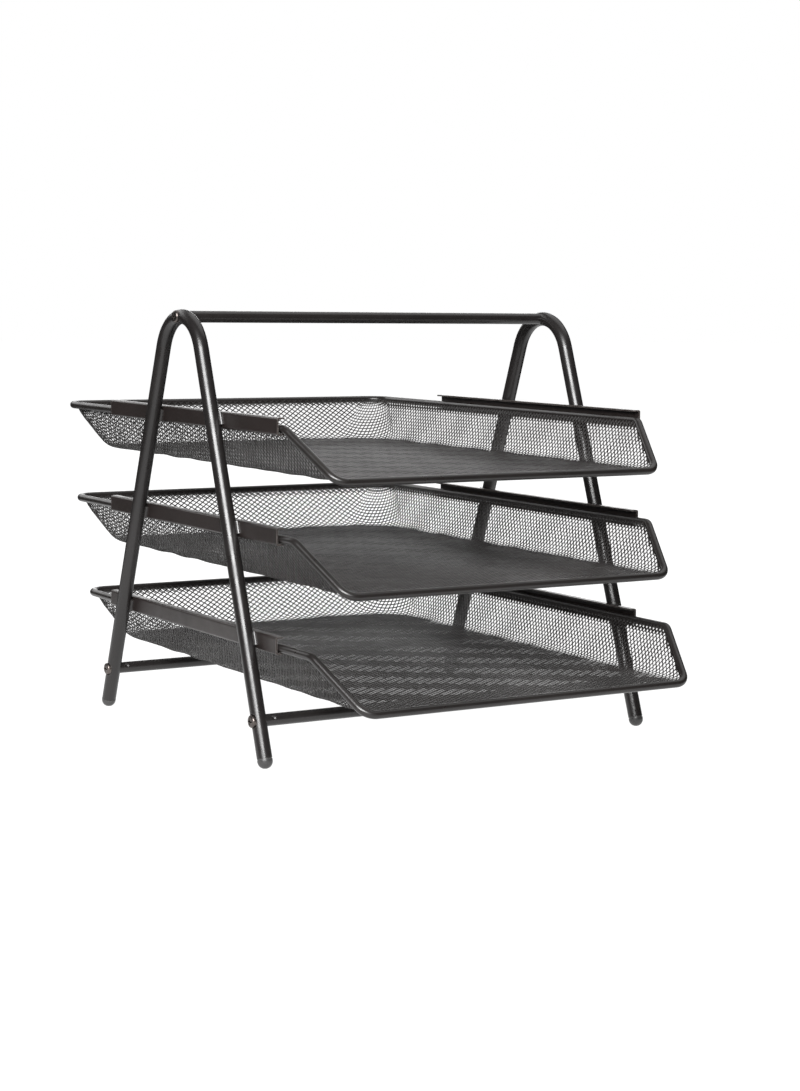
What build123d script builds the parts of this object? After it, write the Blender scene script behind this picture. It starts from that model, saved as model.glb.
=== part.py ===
from build123d import *

import os
from math import cos, hypot, radians, sin, tan

# Letter tray: three sliding mesh paper trays in a carrying stand of bent steel tube.
# Millimetres. +X is to the right, the trays open toward -Y and +Z is up. The origin is on the
# floor, in the middle of the footprint with the trays where they stand.

# --- Stand: two A-shaped side frames, a handle bar and two cross bars ---
frame_spacing = 280  # between the centre planes of the side frames
tube = 9.5  # outside diameter of the frame tube
tube_wall = 1.2
bar = 7.5  # outside diameter of the handle bar and the cross bars
bar_wall = 1.0
foot_spread = 234  # between the leg centrelines, at floor level
leg_lean = 19.7  # degrees from upright
apex_bend = 29  # centreline radius of the bend at the top of a frame
cross_bar_height = 27.5

# --- Trays: a bent wire rim that carries a mesh basket ---
wire = 5.0  # rim wire diameter
rim_width = 262.6  # between the wire centrelines of the two sides
rim_depth = 369  # from the rear wire to the front wire
rim_slope_depth = 38.5  # how much of that depth is the sloping part at the front
rim_drop = 29.5  # how far the front wire lies below the side wires
rim_front_width = 234  # the side wires close in along the slope to this
rear_corner = 15  # centreline radii of the rim's three bends on each side
slope_bend = 8
front_corner = 10
sheet = 0.6  # basket sheet thickness
basket_depth = 29.2  # from the rim wire's centre down to the underside of the floor
floor_width = 235
floor_setback = 16  # how far the floor's rear edge lies in front of the rear wire
floor_corner = 32
floor_edge = 7  # bend radius between the walls and the floor
spare_front = 15  # how far the uncut pan reaches in front of the front wire
wall_tuck = 1.5  # how far a wall's line passes inside the rim wire's centreline

# --- Rails: sheet steel channels that hold the rim wires ---
tiers = {"bottom": 79.8, "middle": 145.5, "top": 211.4}  # height of the top of each pair of rails
pulled_out = {"bottom": 35, "middle": 13, "top": 0}  # how far each tray stands out of its home place
rail_length = 241.5
rail_height = 10.7
rail_flange = 5.0
rail_sheet = 1.0
rail_bend = 1.4  # outside radius of the channel's two bends
rail_front = 119.5  # how far the rails reach in front of the stand's middle
slope_lead = 2.4  # from the rails' front ends to where the side wires turn down
running_gap = 0.3  # between a resting rim wire and the lower flange of its rail

# --- Fixings ---
screw_head = 8.0
head_height = 2.6
screw_shank = 3.9
screw_length = 14
screw_hole = 4.4
head_seat = 9.0  # flat pressed into the outside of the tube for a screw head
head_seat_depth = 1.2
bar_seat_depth = 1.9  # flat pressed into the inside of the tube for the end of a bar
insert_length = 12
insert_bore = 4.0
fit_gap = 0.05  # around a part that is pressed or staked into another

# --- Worked out from the above ---
frame_x = frame_spacing / 2
web_x = frame_x - tube / 2  # outer face of a rail's web, where it meets the tube
outer_seat_x = frame_x + tube / 2 - head_seat_depth
inner_seat_x = frame_x - tube / 2 + bar_seat_depth
lean = radians(leg_lean)
peak_height = foot_spread / 2 / tan(lean)  # where the two legs' centrelines would meet
apex_height = peak_height - apex_bend * (1 / sin(lean) - 1)
slope_y = -rail_front - slope_lead
rim_rear = slope_y + rim_depth - rim_slope_depth
front_reach = rim_rear - rim_depth - pulled_out["bottom"] - wire / 2
rear_reach = rim_rear + wire / 2
stand_y = -(front_reach + rear_reach) / 2  # the stand's middle, seen from the middle of the footprint


def leg_y(height):
    """Distance of a leg's centreline from the stand's middle at a height."""
    return (peak_height - height) * tan(lean)


# The places on a side frame where a bar is screwed on, as (y, z).
apex_joint = (stand_y, apex_height)
front_joint = (stand_y - leg_y(cross_bar_height), cross_bar_height)
rear_joint = (stand_y + leg_y(cross_bar_height), cross_bar_height)
bar_joints = (apex_joint, front_joint, rear_joint)
sides = {"left": -1, "right": 1}
os.makedirs("parts", exist_ok=True)


def save(part, name):
    """Label one finished sub-part and write its own STEP file."""
    part.label = name
    export_step(part, f"parts/{name}.step")


# ---------------------------------------------------------------- feet
# Plastic plugs: a domed cap under the end of the tube and a plain stem inside it.
dome = tube / 2
dome_flat = 0.3  # how much of the dome the floor has pressed flat
cap_height = 1.5
cap_groove = 0.5  # a step round the top of the cap, where it meets the end of the tube
stem_length = 12
dome_height = dome - dome_flat
tube_end_height = dome_height + cap_height * cos(lean)


def make_foot(side, end):
    """One plug; end is -1 for a front leg and 1 for a rear leg."""
    foot_centre = (side * frame_x, stand_y + end * leg_y(dome_height), dome_height)
    leg_axis = (0, -end * sin(lean), cos(lean))
    stem_radius = tube / 2 - tube_wall - fit_gap
    downward = (Align.CENTER, Align.CENTER, Align.MAX)
    upward = (Align.CENTER, Align.CENTER, Align.MIN)
    with BuildPart() as foot:
        with Locations(Plane(origin=foot_centre, z_dir=leg_axis)):
            Sphere(dome, arc_size1=-90, arc_size2=0, align=downward)
            Cylinder(dome, cap_height - cap_groove, align=upward)
            Cylinder(dome - cap_groove, cap_height, align=upward)
            Cylinder(stem_radius, cap_height + stem_length, align=upward)
        split(bisect_by=Plane.XY, keep=Keep.TOP)
    return foot.part


for side_name, side in sides.items():
    save(make_foot(side, -1), f"foot_front_{side_name}")
    save(make_foot(side, 1), f"foot_rear_{side_name}")


# ---------------------------------------------------------------- side frames
def frame_rod(side, radius):
    """A solid round rod along the centreline of one side frame."""
    frame_plane = Plane(origin=(side * frame_x, stand_y, 0), x_dir=(0, 1, 0), z_dir=(1, 0, 0))
    leg_foot = leg_y(tube_end_height)
    with BuildPart() as rod:
        with BuildLine(frame_plane) as centreline:
            FilletPolyline(
                (-leg_foot, tube_end_height),
                (0, peak_height),
                (leg_foot, tube_end_height),
                radius=apex_bend,
            )
        with BuildSketch(Plane(origin=centreline.line @ 0, z_dir=centreline.line % 0)):
            Circle(radius)
        sweep(path=centreline.line)
    return rod.part


def make_side_frame(side):
    """Bent tube, pressed flat on both sides where each bar is screwed on."""
    inside = tube / 2 - tube_wall
    with BuildPart() as hollow:
        add(frame_rod(side, inside))
        # The wall is pressed inward under each seat, so the hollow narrows there.
        with BuildSketch(Plane.YZ.offset(side * (outer_seat_x - tube_wall))):
            with Locations(*bar_joints):
                Circle(head_seat / 2 + tube_wall)
        extrude(amount=side * tube, mode=Mode.SUBTRACT)
        with BuildSketch(Plane.YZ.offset(side * (inner_seat_x + tube_wall))):
            with Locations(*bar_joints):
                Circle(bar / 2 + tube_wall)
        extrude(amount=-side * tube, mode=Mode.SUBTRACT)
    with BuildPart() as frame:
        add(frame_rod(side, tube / 2))
        add(hollow.part, mode=Mode.SUBTRACT)
        with BuildSketch(Plane.YZ.offset(side * outer_seat_x)):
            with Locations(*bar_joints):
                Circle(head_seat / 2)
        extrude(amount=side * tube, mode=Mode.SUBTRACT)
        with BuildSketch(Plane.YZ.offset(side * inner_seat_x)):
            with Locations(*bar_joints):
                Circle(bar / 2 + fit_gap)
        extrude(amount=-side * tube, mode=Mode.SUBTRACT)
        with BuildSketch(Plane.YZ.offset(side * frame_x)):
            with Locations(*bar_joints):
                Circle(screw_hole / 2)
        extrude(amount=tube, both=True, mode=Mode.SUBTRACT)
    return frame.part


for side_name, side in sides.items():
    save(make_side_frame(side), f"side_frame_{side_name}")


# ---------------------------------------------------------------- handle bar and cross bars
stake_radius = 2.2  # punch marks that lock the inserts in the cross bars
stake_depth = 0.8
stake_inset = 5.5  # from the end of the bar
stake_lift = 25  # degrees above the front of the bar


def make_bar(joint, staked):
    """A straight tube between the two side frames, squared off at both ends."""
    with BuildPart() as rod:
        with BuildSketch(Plane.YZ):
            with Locations(joint):
                Circle(bar / 2)
                Circle(bar / 2 - bar_wall, mode=Mode.SUBTRACT)
        extrude(amount=inner_seat_x, both=True)
        if staked:
            reach = bar / 2 + stake_radius - stake_depth
            stake_y = joint[0] - reach * cos(radians(stake_lift))
            stake_z = joint[1] + reach * sin(radians(stake_lift))
            stake_x = inner_seat_x - stake_inset
            with Locations((-stake_x, stake_y, stake_z), (stake_x, stake_y, stake_z)):
                Sphere(stake_radius, mode=Mode.SUBTRACT)
    return rod.part


save(make_bar(apex_joint, staked=False), "handle_bar")
save(make_bar(front_joint, staked=True), "front_cross_bar")
save(make_bar(rear_joint, staked=True), "rear_cross_bar")


def make_inserts(joints):
    """Threaded sleeves, one in each end of each bar."""
    outside = bar / 2 - bar_wall - fit_gap
    with BuildPart() as inserts:
        for side in (-1, 1):
            with BuildSketch(Plane.YZ.offset(side * inner_seat_x)):
                with Locations(*joints):
                    Circle(outside)
                    Circle(insert_bore / 2, mode=Mode.SUBTRACT)
            extrude(amount=-side * insert_length)
    return inserts.part


crown_radius = 1.5  # rounds the rim of a screw head
recess_length = 5.0
recess_width = 1.2
recess_depth = 1.5
recess_taper = 8  # degrees


def make_screws(joints):
    """Pan-head screws with a cross recess, their heads on the outside of the frames."""
    with BuildPart() as screws:
        for side in (-1, 1):
            top_x = side * (outer_seat_x + head_height)
            with BuildSketch(Plane.YZ.offset(side * outer_seat_x)):
                with Locations(*joints):
                    Circle(screw_head / 2)
            extrude(amount=side * head_height)
            head_rims = screws.edges().group_by(Axis.X)[0 if side < 0 else -1]
            fillet(head_rims, crown_radius)
            with BuildSketch(Plane.YZ.offset(side * outer_seat_x)):
                with Locations(*joints):
                    Circle(screw_shank / 2)
            extrude(amount=-side * screw_length)
            with BuildSketch(Plane.YZ.offset(top_x)):
                with Locations(*joints):
                    Rectangle(recess_length, recess_width)
                    Rectangle(recess_width, recess_length)
            extrude(amount=-side * recess_depth, taper=recess_taper, mode=Mode.SUBTRACT)
    return screws.part


save(make_inserts([apex_joint]), "handle_bar_inserts")
save(make_inserts([front_joint, rear_joint]), "cross_bar_inserts")
save(make_screws([apex_joint]), "handle_screws")
save(make_screws([front_joint, rear_joint]), "cross_bar_screws")


# ---------------------------------------------------------------- rails
def make_rail(side, top_height):
    """A channel open toward the middle, its web against the two legs."""
    middle_x = side * (web_x - rail_flange / 2)
    middle_z = top_height - rail_height / 2
    inner_height = rail_height - 2 * rail_sheet
    inner_bend = rail_bend - rail_sheet
    with BuildPart() as rail:
        with BuildSketch(Plane.XZ.offset(rail_front - stand_y)):
            with Locations((middle_x, middle_z)):
                Rectangle(rail_flange, rail_height)
            outer_corners = vertices().group_by(Axis.X)[0 if side < 0 else -1]
            fillet(outer_corners, rail_bend)
            with Locations((middle_x - side * rail_sheet, middle_z)):
                RectangleRounded(rail_flange, inner_height, inner_bend, mode=Mode.SUBTRACT)
        extrude(amount=-rail_length)
    return rail.part


for tier, top_height in tiers.items():
    for side_name, side in sides.items():
        save(make_rail(side, top_height), f"rail_{tier}_{side_name}")


# ---------------------------------------------------------------- welds
# Two short fillet welds per crossing hold a rail's web against a leg, one on each side of the leg.
weld_radius = 1.7
weld_length = 8
weld_spread = 3.1  # from the line where the web touches the tube
weld_lift = 0.2  # from the web's face to the middle of a bead


def weld_plane(side, end, height):
    """A plane across a leg where it crosses a rail, with its origin on the web's outer face."""
    crossing = (side * web_x, stand_y + end * leg_y(height), height)
    return Plane(origin=crossing, x_dir=(1, 0, 0), z_dir=(0, -end * sin(lean), cos(lean)))


with BuildPart() as welds:
    for side in (-1, 1):
        for top_height in tiers.values():
            for end in (-1, 1):
                across_leg = weld_plane(side, end, top_height - rail_height / 2)
                with BuildSketch(across_leg.offset(-weld_length / 2)):
                    with Locations((side * weld_lift, -weld_spread), (side * weld_lift, weld_spread)):
                        Circle(weld_radius)
                extrude(amount=weld_length)
        add(frame_rod(side, tube / 2), mode=Mode.SUBTRACT)
        # Cut the beads flush with the outer faces of the webs.
        with BuildSketch(Plane.YZ.offset(side * web_x)):
            with Locations((stand_y, apex_height / 2)):
                Rectangle(foot_spread, apex_height)
        extrude(amount=-side * tube, mode=Mode.SUBTRACT)
save(welds.part, "rail_welds")


# ---------------------------------------------------------------- tray rims
def wire_height(tier):
    """Height of the side wires' centreline, resting just above the lower flanges."""
    return tiers[tier] - rail_height + rail_sheet + running_gap + wire / 2


def rounded_path(points, radii):
    """Straight runs from point to point, with an arc of the given radius at each inner point."""
    start = Vector(*points[0])
    for before, corner, after, radius in zip(points, points[1:], points[2:], radii):
        corner = Vector(*corner)
        back = (Vector(*before) - corner).normalized()
        ahead = (Vector(*after) - corner).normalized()
        half_angle = radians(back.get_angle(ahead)) / 2
        arc_start = corner + back * (radius / tan(half_angle))
        arc_end = corner + ahead * (radius / tan(half_angle))
        centre = corner + (back + ahead).normalized() * (radius / sin(half_angle))
        arc_middle = centre + (corner - centre).normalized() * radius
        Line(start, arc_start)
        ThreePointArc(arc_start, arc_middle, arc_end)
        start = arc_end
    Line(start, Vector(*points[-1]))


def rim_rod(tier, radius):
    """A round rod along the centreline of one tray's rim."""
    top_z = wire_height(tier)
    rear_y = stand_y + rim_rear - pulled_out[tier]
    bend_y = stand_y + slope_y - pulled_out[tier]
    front_y = rear_y - rim_depth
    front_z = top_z - rim_drop
    with BuildPart() as rod:
        with BuildLine() as centreline:
            rounded_path(
                [
                    (0, rear_y, top_z),
                    (rim_width / 2, rear_y, top_z),
                    (rim_width / 2, bend_y, top_z),
                    (rim_front_width / 2, front_y, front_z),
                    (0, front_y, front_z),
                ],
                [rear_corner, slope_bend, front_corner],
            )
        with BuildSketch(Plane(origin=centreline.line @ 0, z_dir=centreline.line % 0)):
            Circle(radius)
        sweep(path=centreline.line)
        mirror(about=Plane.YZ)
    return rod.part


for tier in tiers:
    save(rim_rod(tier, wire / 2), f"tray_rim_{tier}")


# ---------------------------------------------------------------- mesh baskets
def pan_block(tier, inset):
    """A solid block in the shape of one basket, with its walls and floor moved inward by inset."""
    top_z = wire_height(tier)
    floor_z = top_z - basket_depth
    rear_y = stand_y + rim_rear - pulled_out[tier]
    front_y = rear_y - rim_depth - spare_front
    side_run = (rim_width - 2 * wall_tuck - floor_width) / 2
    rear_run = floor_setback - wall_tuck
    side_inset = inset * hypot(1, side_run / basket_depth)
    rear_inset = inset * hypot(1, rear_run / basket_depth)
    top_corner = rear_corner - wall_tuck
    with BuildPart() as block:
        for share in (inset / basket_depth, 1):
            width = floor_width + 2 * (share * side_run - side_inset)
            back_y = rear_y - floor_setback + share * rear_run - rear_inset
            corner = floor_corner + share * (top_corner - floor_corner) - inset
            with BuildSketch(Plane.XY.offset(floor_z + share * basket_depth)):
                with Locations((0, (back_y + front_y) / 2)):
                    Rectangle(width, back_y - front_y)
                fillet(vertices().group_by(Axis.Y)[-1], corner)
        loft()
        fillet(block.faces().sort_by(Axis.Z)[0].edges(), floor_edge - inset)
    return block.part


def make_basket(tier):
    """A thin pan with leaning walls, welded inside the rim and cut away along its sloping front."""
    bend_y = stand_y + slope_y - pulled_out[tier]
    slope_start = (0, bend_y, wire_height(tier))
    slope = Plane(origin=slope_start, x_dir=(1, 0, 0), z_dir=(0, -rim_drop, rim_slope_depth))
    with BuildPart() as basket:
        add(pan_block(tier, 0))
        add(pan_block(tier, sheet), mode=Mode.SUBTRACT)
        split(bisect_by=slope, keep=Keep.BOTTOM)
        add(rim_rod(tier, wire / 2 + fit_gap), mode=Mode.SUBTRACT)
    return basket.part.solids().sort_by(SortBy.VOLUME)[-1]


for tier in tiers:
    save(make_basket(tier), f"mesh_basket_{tier}")
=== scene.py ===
"""Looks of the three-tier mesh letter tray.

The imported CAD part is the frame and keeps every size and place. Each basket's plain shell is replaced by
real expanded metal: one flat sheet of diamond openings, folded up at the sides and the back.
Everything else keeps its CAD shape and gets a procedural finish. Lengths are in metres.
"""

import math

import bmesh
import bpy
import numpy as np
from mathutils import Matrix, Vector


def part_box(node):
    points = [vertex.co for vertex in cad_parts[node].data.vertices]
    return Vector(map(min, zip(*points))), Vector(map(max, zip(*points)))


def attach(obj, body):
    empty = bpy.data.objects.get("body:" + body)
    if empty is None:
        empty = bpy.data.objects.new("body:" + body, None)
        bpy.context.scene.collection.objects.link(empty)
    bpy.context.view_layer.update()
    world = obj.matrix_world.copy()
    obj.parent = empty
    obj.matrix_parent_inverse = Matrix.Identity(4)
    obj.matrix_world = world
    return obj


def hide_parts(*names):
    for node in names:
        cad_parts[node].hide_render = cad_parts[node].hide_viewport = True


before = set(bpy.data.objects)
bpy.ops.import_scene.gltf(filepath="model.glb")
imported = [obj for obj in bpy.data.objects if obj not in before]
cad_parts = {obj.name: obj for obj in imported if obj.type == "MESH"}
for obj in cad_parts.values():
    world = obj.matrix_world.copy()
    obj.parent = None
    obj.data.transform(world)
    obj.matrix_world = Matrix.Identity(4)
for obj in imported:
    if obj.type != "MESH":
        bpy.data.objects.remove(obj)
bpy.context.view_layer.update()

MM = 0.001
TIERS = ("top", "middle", "bottom")
SIDES = ("left", "right")

# ---- Expanded metal: the flat sheet ----
LONG_WAY = 5.05 * MM  # across one diamond, along the tray's width
SHORT_WAY = 3.53 * MM  # across one diamond, from front to back
BOND_LENGTH = 1.5 * MM  # a joint between strands, along the tray's width
BOND_HEIGHT = 0.92 * MM
THICKNESS = 0.32 * MM
FLAT_SHARE = 0.72  # how much of a strand's width its flat faces take
LEAN = 0.13 * MM  # each strand leans: its rear edge stands this much above its middle
LEAN_UNEVEN = (0.9, 1.1)  # but never by quite the same
STREAK_LEAN = -0.4  # in short streaks the strands lean the other way, by this share of it
STREAK_ROWS = 14  # a streak runs along every other strand, for this many half rows
STREAK_WANDER = 1  # and starts up to this many half rows before or after its neighbours
LEAN_SEED = 7
CORNERS = 4  # of a bond
LEVELS = 3  # its lower face, its middle and its upper face
SPARE = 2  # rows and columns of bonds beyond the sheet's edge, which the trimming takes off

# ---- Expanded metal: what folding does to it ----
DENT_HEIGHT = 0.16 * MM  # folding leaves soft waves along the fold, and each of them rises this much
DENT_LENGTH = 22 * MM
DENT_WAVES = 4
DENT_GROWTH = 0.23  # each wave is longer than the one before by this share of DENT_LENGTH
DENT_TURN = 2.4  # and runs in another direction, turned by this many radians
DENT_PHASE = 1.7  # and starts this much later
DENT_REACH = 16 * MM  # they fade over this distance into the floor
DENT_FADE = 12 * MM  # and over this one toward the wires
CORNER_BULGE = 2.0 * MM  # the drawn corners of the pan swell this much beyond a straight wall

# ---- The pan that the sheet is folded into, the same shape as the CAD shell ----
# Measured from the middle of the rear wire, with the side wires at height 0.
WIRE_RADIUS = 2.5 * MM
SHEET_OFFSET = 0.3 * MM  # from the shell's outer face to the middle of the sheet
FLOOR_HALF = 117.5 * MM - SHEET_OFFSET
FLOOR_BACK = -16.0 * MM - SHEET_OFFSET
FLOOR_CORNER = 32.0 * MM - SHEET_OFFSET
FLOOR_LEVEL = -29.2 * MM + SHEET_OFFSET
RIM_HALF = 129.8 * MM - SHEET_OFFSET
RIM_BACK = -1.5 * MM - SHEET_OFFSET
RIM_CORNER = 13.5 * MM - SHEET_OFFSET
FOLD = 4.6 * MM  # the fold is rounded this far to each side of the floor's outline
SLOPE_TOP = np.array([-330.5, 0.0]) * MM  # y and z where the side wires start to slope
SLOPE_END = np.array([-369.0, -29.5]) * MM
HEM = 5.5 * MM  # the sheet's edge is folded back on itself this far below the level wires
SLOPE_HEM = 3.4 * MM  # and this far behind the sloping ones
HEM_LIFT = 0.65 * MM  # from the middle of the sheet to the middle of its folded-back edge
TUCK = 0.9 * MM  # the sheet runs this far past the middle of the wires

# Where the lattice of each tray's sheet happens to start, and how far the hem's lies beside it.
CUT_STARTS = {
    "top": np.array([0.0, 0.0]),
    "middle": np.array([1.1, 0.4]) * MM,
    "bottom": np.array([0.5, 0.9]) * MM,
}
HEM_SHIFT = np.array([LONG_WAY, SHORT_WAY]) / 4
HALF_WAY = -180 * MM  # where a sheet's front half ends, from the rear wire

# ---- Exactness of the folding ----
HALVINGS = 26  # of a corner's quarter turn, to find the line that a point lies on
NORMAL_STEP = 0.05 * MM
TINY = 1e-9

# ---- Finishes ----
DRIFT_SIZE = 60 * MM  # the colour drifts over this distance
DRIFT_NOISE = (0.35, 0.65)  # the stretch of the noise's values that it uses
DRIFT_DARK = 0.85
DRIFT_LIGHT = 1.2
SPECKLE = 0.35  # the fine speckle mixes in up to this share of the edge colour
SPECKLE_NOISE = (0.62, 0.78)
EDGE_TURN = (0.90, 0.99)  # the rounded normal times the real one: at an edge, and where the lighter edge colour ends
EDGE_WIDTH = 0.5 * MM
ROUGHNESS_SIZE = 9 * MM
ROUGHNESS_NOISE = (0.3, 0.7)
ROUGHNESS_RANGE = 0.05
GRAIN_DEPTH = 0.25  # the relief's depth, as a share of its grain

# ---- Studio ----
PAPER_GLOW = 1.0
PAPER_SHADE = 0.15
TABLE_SIZE = 1.1
FLOOR_SIZE = 24.0
FLOOR_DROP = 0.5 * MM  # the far floor lies this much under the table
DOME_RADIUS = 15.0
STUDIO_DIM = 0.04
LIGHTS_AIM = (0, 0, 0.12)

# ---- Camera ----
CAMERA_PLACE = Vector((-744.6, -1262.5, 280.5)) * MM
CAMERA_YAW = math.radians(31.46)  # turned to the right from looking along +Y
CAMERA_PITCH = math.radians(5.09)  # looking down
CAMERA_ROLL = math.radians(0.62)
LENS = 71.7
SHIFT = -0.0458

# ---- Worked out from the above ----
CORNER_CENTRE = np.array([FLOOR_HALF - FLOOR_CORNER, FLOOR_BACK - FLOOR_CORNER])
RIM_CENTRE = np.array([RIM_HALF - RIM_CORNER, RIM_BACK - RIM_CORNER])
WALL_HEIGHT = -FLOOR_LEVEL
SIDE_RUN = RIM_HALF - FLOOR_HALF
BACK_RUN = RIM_BACK - FLOOR_BACK
SIDE_LENGTH = math.hypot(SIDE_RUN, WALL_HEIGHT)
BACK_LENGTH = math.hypot(BACK_RUN, WALL_HEIGHT)


def corner_lines(angle):
    """The corner wall's straight lines: foot and head in space, foot and direction on the flat sheet."""
    turn = np.stack([np.cos(angle), np.sin(angle)], 1)
    foot = np.concatenate([CORNER_CENTRE + FLOOR_CORNER * turn, np.full((len(angle), 1), FLOOR_LEVEL)], 1)
    head = np.concatenate([RIM_CENTRE + RIM_CORNER * turn, np.zeros((len(angle), 1))], 1)
    line = head - foot
    tangent = np.stack([-turn[:, 1], turn[:, 0]], 1)
    length = np.linalg.norm(line, axis=1)
    to_tangent = np.arccos(np.sum(line[:, :2] * tangent, 1) / length)
    heading = angle + math.pi / 2 - to_tangent
    return foot, line, length, np.stack([np.cos(heading), np.sin(heading)], 1)


def corner_point(u, v):
    """Where a point of the flat sheet goes on the corner wall, found by halving the corner's angle."""
    low = np.zeros(len(u))
    high = np.full(len(u), math.pi / 2)
    for _ in range(HALVINGS):
        angle = (low + high) / 2
        foot, _, _, heading = corner_lines(angle)
        across = heading[:, 0] * (v - foot[:, 1]) - heading[:, 1] * (u - foot[:, 0])
        low = np.where(across > 0, angle, low)
        high = np.where(across > 0, high, angle)
    foot, line, length, heading = corner_lines(angle)
    share = (heading[:, 0] * (u - foot[:, 0]) + heading[:, 1] * (v - foot[:, 1])) / length
    place = foot + line * share[:, None]
    bulge = CORNER_BULGE * np.sin(2 * angle) * np.sin(math.pi * np.clip(share, 0, 1))
    place[:, 0] += bulge * np.cos(angle)
    place[:, 1] += bulge * np.sin(angle)
    return place


def folded_sharp(u, v):
    """The flat sheet folded up along the floor's outline, with no radius in the fold."""
    side = np.sign(u)
    u = np.abs(u)
    above_side = u - FLOOR_HALF
    above_back = v - FLOOR_BACK
    place = np.stack([u, v, np.full(len(u), FLOOR_LEVEL)], 1)
    shift = RIM_CENTRE - CORNER_CENTRE
    on_side = (above_side > 0) & (v <= CORNER_CENTRE[1] + above_side * shift[1] / SIDE_LENGTH)
    on_back = (above_back > 0) & (u <= CORNER_CENTRE[0] + above_back * shift[0] / BACK_LENGTH)
    past_arc = np.hypot(u - CORNER_CENTRE[0], v - CORNER_CENTRE[1]) > FLOOR_CORNER
    in_corner = (u > CORNER_CENTRE[0]) & (v > CORNER_CENTRE[1]) & past_arc & ~on_side & ~on_back
    share = above_side[on_side] / SIDE_LENGTH
    place[on_side, 0] = FLOOR_HALF + share * SIDE_RUN
    place[on_side, 2] += share * WALL_HEIGHT
    share = above_back[on_back] / BACK_LENGTH
    place[on_back, 1] = FLOOR_BACK + share * BACK_RUN
    place[on_back, 2] += share * WALL_HEIGHT
    place[in_corner] = corner_point(u[in_corner], v[in_corner])
    place[:, 0] *= side
    return place


def folded(u, v):
    """The flat sheet folded into the pan, with a rounded fold along the floor's outline."""
    side = np.where(u < 0, -1.0, 1.0)
    width = np.abs(u)
    du = width - CORNER_CENTRE[0]
    dv = v - CORNER_CENTRE[1]
    reach = np.hypot(du, dv)
    in_turn = (du > 0) & (dv > 0)
    by_side = du >= dv
    past_fold = np.where(in_turn, reach, np.where(by_side, du, dv)) - FLOOR_CORNER
    out_u = np.where(in_turn, du / np.maximum(reach, TINY), np.where(by_side, 1.0, 0.0))
    out_v = np.where(in_turn, dv / np.maximum(reach, TINY), np.where(by_side, 0.0, 1.0))
    place = folded_sharp(u, v)
    near = np.abs(past_fold) < FOLD
    share = (past_fold[near, None] + FOLD) / (2 * FOLD)
    ends = []
    for step in (-FOLD, 0.0, FOLD):
        move = step - past_fold[near]
        moved_u = side[near] * (width[near] + move * out_u[near])
        ends.append(folded_sharp(moved_u, v[near] + move * out_v[near]))
    place[near] = (1 - share) ** 2 * ends[0] + 2 * share * (1 - share) * ends[1] + share**2 * ends[2]
    return place


def sheet_normals(u, v):
    """Which way the sheet faces: up and into the tray."""
    along_u = folded(u + NORMAL_STEP, v) - folded(u - NORMAL_STEP, v)
    along_v = folded(u, v + NORMAL_STEP) - folded(u, v - NORMAL_STEP)
    normal = np.cross(along_u, along_v)
    return normal / np.linalg.norm(normal, axis=1)[:, None]


def inside_edges(place):
    """How far points of the pan lie below the level wires, and behind the plane of the sloping ones."""
    slope = (SLOPE_END - SLOPE_TOP) / np.linalg.norm(SLOPE_END - SLOPE_TOP)
    from_top = place[:, 1:] - SLOPE_TOP
    return -place[:, 2], from_top[:, 1] * slope[0] - from_top[:, 0] * slope[1]


def in_sheet(place):
    """Points that the trimmed sheet keeps."""
    below, behind = inside_edges(place)
    return (below > -TUCK) & (behind > -TUCK)


def in_front_half(place):
    """Points of the sheet's front half."""
    return in_sheet(place) & (place[:, 1] < HALF_WAY)


def in_rear_half(place):
    """Points of the sheet's rear half, which starts on the front half's last row of bonds."""
    return in_sheet(place) & (place[:, 1] > HALF_WAY - SHORT_WAY / 2)


def in_hem(place):
    """Points where the folded-back edge makes a second layer."""
    below, behind = inside_edges(place)
    return in_sheet(place) & ((below < HEM) | (behind < SLOPE_HEM))


def dents(u, v, place):
    """How far the thin sheet waves in and out of the exact pan."""
    height = np.zeros(len(u))
    for i in range(DENT_WAVES):
        turn = DENT_TURN * i
        length = DENT_LENGTH * (1 + DENT_GROWTH * i)
        along = u * math.cos(turn) + v * math.sin(turn)
        height += DENT_HEIGHT * np.sin(2 * math.pi * along / length + DENT_PHASE * i)
    below, behind = inside_edges(place)
    from_wires = np.clip(np.minimum(below, behind) / DENT_FADE, 0, 1)
    from_fold = np.maximum(np.minimum(FLOOR_HALF - np.abs(u), FLOOR_BACK - v), 0)
    return height * from_wires * np.clip(1 - from_fold / DENT_REACH, 0, 1)


def neighbours(column, row):
    """For each bond the numbers of the bonds that its four strands reach, or -1 for none."""
    places = list(zip(column.tolist(), row.tolist()))
    number = {place: i for i, place in enumerate(places)}
    steps = ((1, 1), (-1, 1), (-1, -1), (1, -1))
    return np.array([[number.get((c + dc, r + dr), -1) for dc, dr in steps] for c, r in places])


def leaning(column, row):
    """How far each bond's rear edge stands above its middle."""
    strand = (row - column) // 2
    along = row + column + STREAK_WANDER * np.sin(strand)
    in_streak = (strand % 2 == 0) & (along // STREAK_ROWS % 2 == 0)
    lean = LEAN * np.random.default_rng(LEAN_SEED).uniform(*LEAN_UNEVEN, len(row))
    return np.where(in_streak, STREAK_LEAN * lean, lean)


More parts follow.
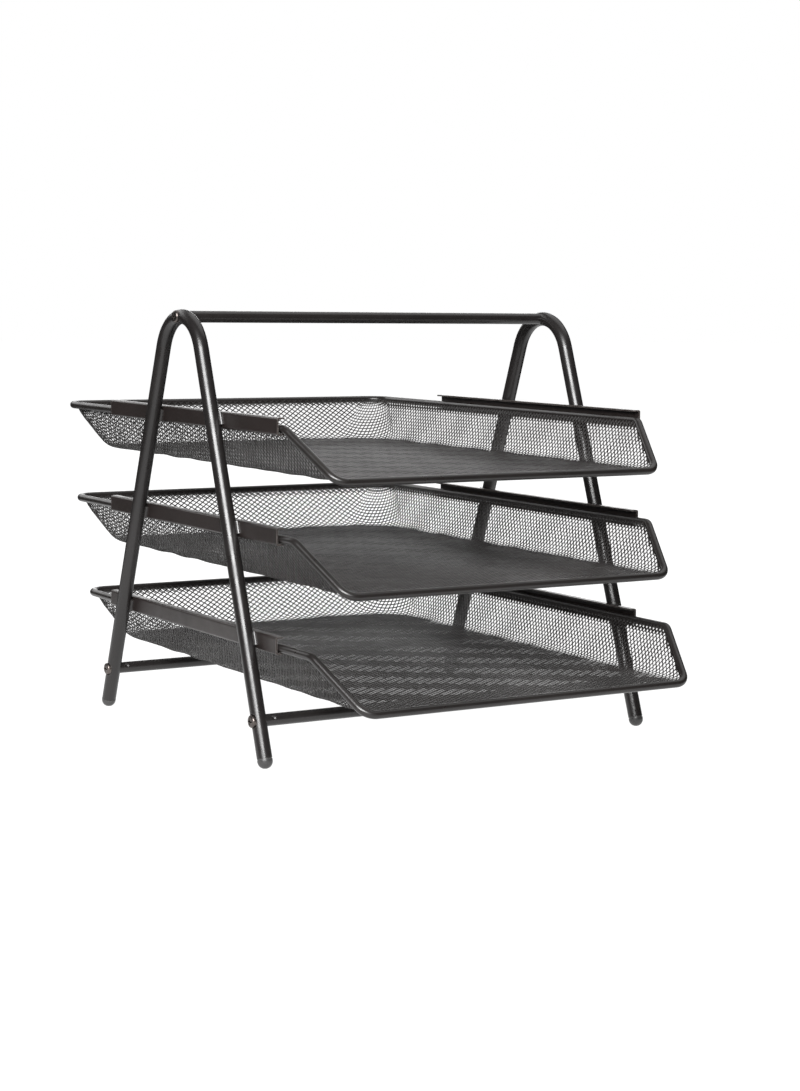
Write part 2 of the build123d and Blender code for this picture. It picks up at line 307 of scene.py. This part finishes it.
def expanded_metal(kept, lift, shift):
    """Corner points of a folded sheet of expanded metal, and each bond's neighbours.

    Diamonds meet at bonds. A bond has four corners: right, rear, left and front. Two strands leave it
    toward the rear and two come in from the front, each as wide as the bond's side. A strand's section
    has six sides, so every bond has its four corners on three levels.
    """
    columns = int(2 * (FLOOR_HALF + SIDE_LENGTH + TUCK) / LONG_WAY) + SPARE
    rows = int(2 * (FLOOR_BACK + BACK_LENGTH + TUCK - SLOPE_END[0]) / SHORT_WAY) + SPARE
    column, row = np.meshgrid(np.arange(-columns, columns + 1), np.arange(-SPARE, rows), indexing="ij")
    staggered = (column + row) % 2 == 0
    column = column[staggered]
    row = row[staggered]
    u = column * LONG_WAY / 2 + shift[0]
    v = SLOPE_END[0] + row * SHORT_WAY / 2 + shift[1]
    stays = kept(folded(u, v))
    column, row, u, v = column[stays], row[stays], u[stays], v[stays]

    ahead = neighbours(column, row)
    joined = (ahead >= 0).any(1)
    renumber = np.where(joined, np.cumsum(joined) - 1, -1)
    ahead = np.where(ahead >= 0, renumber[ahead], -1)[joined]
    column, row, u, v = column[joined], row[joined], u[joined], v[joined]

    lean = leaning(column, row)
    normal = sheet_normals(u, v)
    corners = np.array([[1, 0], [0, 1], [-1, 0], [0, -1]]) * [BOND_LENGTH / 2, BOND_HEIGHT / 2]
    levels = ((FLAT_SHARE, -THICKNESS / 2), (1.0, 0.0), (FLAT_SHARE, THICKNESS / 2))
    points = np.empty((len(u), LEVELS, CORNERS, 3))
    for level, (share, height) in enumerate(levels):
        for i, (cu, cv) in enumerate(corners * share):
            place = folded(u + cu, v + cv)
            rise = lift + height + lean * cv / (BOND_HEIGHT / 2) + dents(u + cu, v + cv, place)
            points[:, level, i] = place + normal * rise[:, None]
    return points, ahead


def bond_quads(ahead):
    """Quads of the bonds and the strands between them, each a row of four point numbers."""
    bonds = np.arange(len(ahead))
    quads = []

    def at(bond, level, corner):
        return (bond * LEVELS + level) * CORNERS + corner % CORNERS

    def add(*corners):
        quads.append(np.stack(corners, 1))

    add(*[at(bonds, 2, i) for i in (0, 1, 2, 3)])
    add(*[at(bonds, 0, i) for i in (3, 2, 1, 0)])
    for side in range(CORNERS):
        ends = bonds[ahead[:, side] < 0]
        for low in (0, 1):
            up = low + 1
            add(at(ends, low, side), at(ends, low, side + 1), at(ends, up, side + 1), at(ends, up, side))
    for side in (0, 1):
        near = bonds[ahead[:, side] >= 0]
        far = ahead[near, side]
        right, left, far_right, far_left = side, side + 1, side + 3, side + 2
        add(at(near, 2, right), at(far, 2, far_right), at(far, 2, far_left), at(near, 2, left))
        add(at(near, 0, left), at(far, 0, far_left), at(far, 0, far_right), at(near, 0, right))
        for low in (0, 1):
            up = low + 1
            add(at(near, low, right), at(far, low, far_right), at(far, up, far_right), at(near, up, right))
            add(at(far, low, far_left), at(near, low, left), at(near, up, left), at(far, up, far_left))
    return np.concatenate(quads)


def make_mesh(name, points, quads):
    """A mesh object from corner points and quads."""
    mesh = bpy.data.meshes.new(name)
    mesh.vertices.add(len(points))
    mesh.vertices.foreach_set("co", points.astype(np.float32).ravel())
    mesh.loops.add(quads.size)
    mesh.loops.foreach_set("vertex_index", quads.astype(np.int32).ravel())
    mesh.polygons.add(len(quads))
    mesh.polygons.foreach_set("loop_start", np.arange(0, quads.size, 4, dtype=np.int32))
    mesh.update(calc_edges=True)
    piece = bpy.data.objects.new(name, mesh)
    bpy.context.scene.collection.objects.link(piece)
    return piece


def make_basket(tier, material):
    """One tray's basket: the sheet in a front and a rear half, and the hem along its edge."""
    _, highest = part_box(f"tray_rim_{tier}")
    origin = np.array([0.0, highest.y - WIRE_RADIUS, highest.z - WIRE_RADIUS])
    cut = CUT_STARTS[tier]
    layers = {
        "front": (in_front_half, 0.0, cut),
        "rear": (in_rear_half, 0.0, cut),
        "hem": (in_hem, HEM_LIFT, cut + HEM_SHIFT),
    }
    for layer, (kept, lift, start) in layers.items():
        points, ahead = expanded_metal(kept, lift, start)
        piece = make_mesh(f"mesh_{tier}_{layer}", points.reshape(-1, 3) + origin, bond_quads(ahead))
        piece.data.materials.append(material)
        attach(piece, f"tray_{tier}")
        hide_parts(f"mesh_basket_{tier}")


# ---- Finishes ----
def noise(tree, place, size, detail=2.0):
    """Noise whose blobs are about this size, from 0 to 1."""
    node = tree.nodes.new("ShaderNodeTexNoise")
    node.inputs["Scale"].default_value = 1 / size
    node.inputs["Detail"].default_value = detail
    tree.links.new(place, node.inputs["Vector"])
    return node.outputs["Fac"]


def spread(tree, value, source, target):
    """The value moved from one range to another, held inside it."""
    node = tree.nodes.new("ShaderNodeMapRange")
    tree.links.new(value, node.inputs["Value"])
    node.inputs["From Min"].default_value, node.inputs["From Max"].default_value = source
    node.inputs["To Min"].default_value, node.inputs["To Max"].default_value = target
    return node.outputs["Result"]


def mix_colours(tree, share, first, second):
    """A mix of two colours, each a linked colour or three numbers."""
    node = tree.nodes.new("ShaderNodeMix")
    node.data_type = "RGBA"
    tree.links.new(share, node.inputs["Factor"])
    for socket, colour in (("A", first), ("B", second)):
        target = next(i for i in node.inputs if i.name == socket and i.type == "RGBA")
        if isinstance(colour, bpy.types.NodeSocket):
            tree.links.new(colour, target)
        else:
            target.default_value = (*colour, 1.0)
    return next(o for o in node.outputs if o.type == "RGBA")


def edge_share(tree, width):
    """From 0 on a plain surface to 1 on a sharp edge, over this width."""
    bevel = tree.nodes.new("ShaderNodeBevel")
    bevel.inputs["Radius"].default_value = width
    product = tree.nodes.new("ShaderNodeVectorMath")
    product.operation = "DOT_PRODUCT"
    tree.links.new(bevel.outputs["Normal"], product.inputs[0])
    tree.links.new(tree.nodes.new("ShaderNodeNewGeometry").outputs["Normal"], product.inputs[1])
    return spread(tree, product.outputs["Value"], EDGE_TURN, (1.0, 0.0))


def finish(name, colour, edge_colour, roughness, grain, bump, metallic=0.0, edge=EDGE_WIDTH):
    """A procedural finish: colour drift, fine speckle, lighter edges (wear, and on the rails also a
    painted highlight), uneven gloss and a grain in relief.
    """
    material = bpy.data.materials.new(name)
    material.use_nodes = True
    tree = material.node_tree
    shader = tree.nodes["Principled BSDF"]
    shader.inputs["Metallic"].default_value = metallic
    place = tree.nodes.new("ShaderNodeTexCoord").outputs["Object"]

    drift = noise(tree, place, DRIFT_SIZE)
    speckle = noise(tree, place, grain / 2)
    darker = tuple(c * DRIFT_DARK for c in colour)
    lighter = tuple(c * DRIFT_LIGHT for c in colour)
    base = mix_colours(tree, spread(tree, drift, DRIFT_NOISE, (0.0, 1.0)), darker, lighter)
    speckled = mix_colours(tree, spread(tree, speckle, SPECKLE_NOISE, (0.0, SPECKLE)), base, edge_colour)
    tree.links.new(mix_colours(tree, edge_share(tree, edge), speckled, edge_colour), shader.inputs["Base Color"])

    uneven = noise(tree, place, ROUGHNESS_SIZE, detail=3.0)
    rough_range = (roughness - ROUGHNESS_RANGE, roughness + ROUGHNESS_RANGE)
    tree.links.new(spread(tree, uneven, ROUGHNESS_NOISE, rough_range), shader.inputs["Roughness"])

    relief = tree.nodes.new("ShaderNodeBump")
    relief.inputs["Strength"].default_value = bump
    relief.inputs["Distance"].default_value = grain * GRAIN_DEPTH
    tree.links.new(noise(tree, place, grain), relief.inputs["Height"])
    tree.links.new(relief.outputs["Normal"], shader.inputs["Normal"])
    return material


def dress(material, *nodes):
    """Give CAD nodes a finish."""
    for node in nodes:
        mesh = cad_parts[node].data
        mesh.materials.clear()
        mesh.materials.append(material)


frame_paint = finish(
    "frame_paint",
    colour=(0.0105, 0.0092, 0.0090),
    edge_colour=(0.05, 0.046, 0.044),
    roughness=0.30,
    grain=0.7 * MM,
    bump=0.05,
)
rail_paint = finish(
    "rail_paint",
    colour=(0.0125, 0.0092, 0.0085),
    # The rails' light edge colour is partly wear at their cut edges and partly a painted highlight: it
    # draws bright lines along the rails' edges and ends, and lightens their speckle.
    edge_colour=(0.16, 0.145, 0.135),
    roughness=0.36,
    grain=0.7 * MM,
    bump=0.05,
)
rim_paint = finish(
    "rim_paint",
    colour=(0.0105, 0.0090, 0.0085),
    edge_colour=(0.05, 0.046, 0.044),
    roughness=0.32,
    grain=0.6 * MM,
    bump=0.05,
)
mesh_paint = finish(
    "mesh_paint",
    colour=(0.0115, 0.0097, 0.0092),
    edge_colour=(0.045, 0.041, 0.039),
    roughness=0.45,
    grain=0.4 * MM,
    bump=0.10,
    edge=0.12 * MM,
)
foot_plastic = finish(
    "foot_plastic",
    colour=(0.032, 0.031, 0.031),
    edge_colour=(0.09, 0.088, 0.086),
    roughness=0.36,
    grain=0.5 * MM,
    bump=0.20,
)
screw_steel = finish(
    "screw_steel",
    colour=(0.12, 0.105, 0.098),
    edge_colour=(0.34, 0.31, 0.29),
    roughness=0.36,
    grain=0.3 * MM,
    bump=0.12,
    metallic=1.0,
    edge=0.3 * MM,
)
insert_steel = finish(
    "insert_steel",
    colour=(0.45, 0.45, 0.46),
    edge_colour=(0.7, 0.7, 0.7),
    roughness=0.35,
    grain=0.4 * MM,
    bump=0.1,
    metallic=1.0,
)

dress(frame_paint, "handle_bar", "front_cross_bar", "rear_cross_bar", "rail_welds")
dress(frame_paint, *[f"side_frame_{side}" for side in SIDES])
dress(rail_paint, *[f"rail_{tier}_{side}" for tier in TIERS for side in SIDES])
dress(rim_paint, *[f"tray_rim_{tier}" for tier in TIERS])
dress(foot_plastic, *[f"foot_{end}_{side}" for end in ("front", "rear") for side in SIDES])
dress(screw_steel, "handle_screws", "cross_bar_screws")
dress(insert_steel, "handle_bar_inserts", "cross_bar_inserts")
for tier in TIERS:
    make_basket(tier, mesh_paint)


# ---- Studio ----
def plain_glow(name, glow, shade):
    """A matt white that also shines by itself."""
    material = bpy.data.materials.new(name)
    material.use_nodes = True
    shader = material.node_tree.nodes["Principled BSDF"]
    shader.inputs["Base Color"].default_value = (shade, shade, shade, 1)
    shader.inputs["Specular IOR Level"].default_value = 0.0
    shader.inputs["Emission Color"].default_value = (1, 1, 1, 1)
    shader.inputs["Emission Strength"].default_value = glow
    return material


def paper(name, size, height, material):
    """A square of white floor under the tray."""
    half = size / 2
    mesh = bpy.data.meshes.new(name)
    corners = [(-half, -half, height), (half, -half, height), (half, half, height), (-half, half, height)]
    mesh.from_pydata(corners, [], [(0, 1, 2, 3)])
    mesh.materials.append(material)
    sheet = bpy.data.objects.new(name, mesh)
    bpy.context.scene.collection.objects.link(sheet)
    return sheet


def backdrop():
    """A white dome that only the camera sees."""
    sphere = bmesh.new()
    bmesh.ops.create_icosphere(sphere, subdivisions=4, radius=DOME_RADIUS)
    mesh = bpy.data.meshes.new("backdrop")
    sphere.to_mesh(mesh)
    sphere.free()
    mesh.materials.append(plain_glow("backdrop_white", PAPER_GLOW, 0.0))
    dome = bpy.data.objects.new("backdrop", mesh)
    bpy.context.scene.collection.objects.link(dome)
    dome.visible_diffuse = False
    dome.visible_glossy = False
    dome.visible_transmission = False
    dome.visible_shadow = False


def light(name, place, size, power):
    """A soft area light that faces the tray."""
    lamp = bpy.data.lights.new(name, "AREA")
    lamp.shape = "RECTANGLE"
    lamp.size, lamp.size_y = size
    lamp.energy = power
    holder = bpy.data.objects.new(name, lamp)
    holder.location = place
    holder.rotation_euler = (Vector(LIGHTS_AIM) - Vector(place)).to_track_quat("-Z", "Y").to_euler()
    bpy.context.scene.collection.objects.link(holder)


# Only the table near the tray shows in its glossy paint. The rest of the floor and the backdrop are
# there for the camera, so that the studio itself can be dark.
white_paper = plain_glow("white_paper", PAPER_GLOW, PAPER_SHADE)
paper("table", TABLE_SIZE, 0.0, white_paper)
far_floor = paper("floor", FLOOR_SIZE, -FLOOR_DROP, white_paper)
far_floor.visible_glossy = False
far_floor.visible_diffuse = False
backdrop()

world = bpy.data.worlds.new("studio")
world.use_nodes = True
world.node_tree.nodes["Background"].inputs["Color"].default_value = (1, 1, 1, 1)
world.node_tree.nodes["Background"].inputs["Strength"].default_value = STUDIO_DIM
scene = bpy.context.scene
scene.world = world
scene.view_settings.view_transform = "Standard"

light("key", place=(-1.30, -1.44, 1.15), size=(1.5, 0.8), power=110)
light("rear_left", place=(-0.5, 2.5, 1.55), size=(2.0, 1.4), power=17)
light("rear_right", place=(1.5, 2.45, 0.75), size=(1.6, 1.0), power=13)
light("overhead", place=(0.9, 0.4, 2.2), size=(2.6, 2.2), power=20)


def add_camera():
    """The camera, turned by its yaw, pitch and roll."""
    forward = Vector(
        (
            math.sin(CAMERA_YAW) * math.cos(CAMERA_PITCH),
            math.cos(CAMERA_YAW) * math.cos(CAMERA_PITCH),
            -math.sin(CAMERA_PITCH),
        )
    )
    level_right = Vector((math.cos(CAMERA_YAW), -math.sin(CAMERA_YAW), 0))
    level_up = level_right.cross(forward)
    right = level_right * math.cos(CAMERA_ROLL) + level_up * math.sin(CAMERA_ROLL)
    up = level_up * math.cos(CAMERA_ROLL) - level_right * math.sin(CAMERA_ROLL)
    turned = Matrix((right, up, -forward)).transposed().to_4x4()
    camera = bpy.data.objects.new("camera", bpy.data.cameras.new("camera"))
    camera.matrix_world = Matrix.Translation(CAMERA_PLACE) @ turned
    camera.data.lens = LENS
    camera.data.shift_y = SHIFT
    scene.collection.objects.link(camera)
    scene.camera = camera


add_camera()
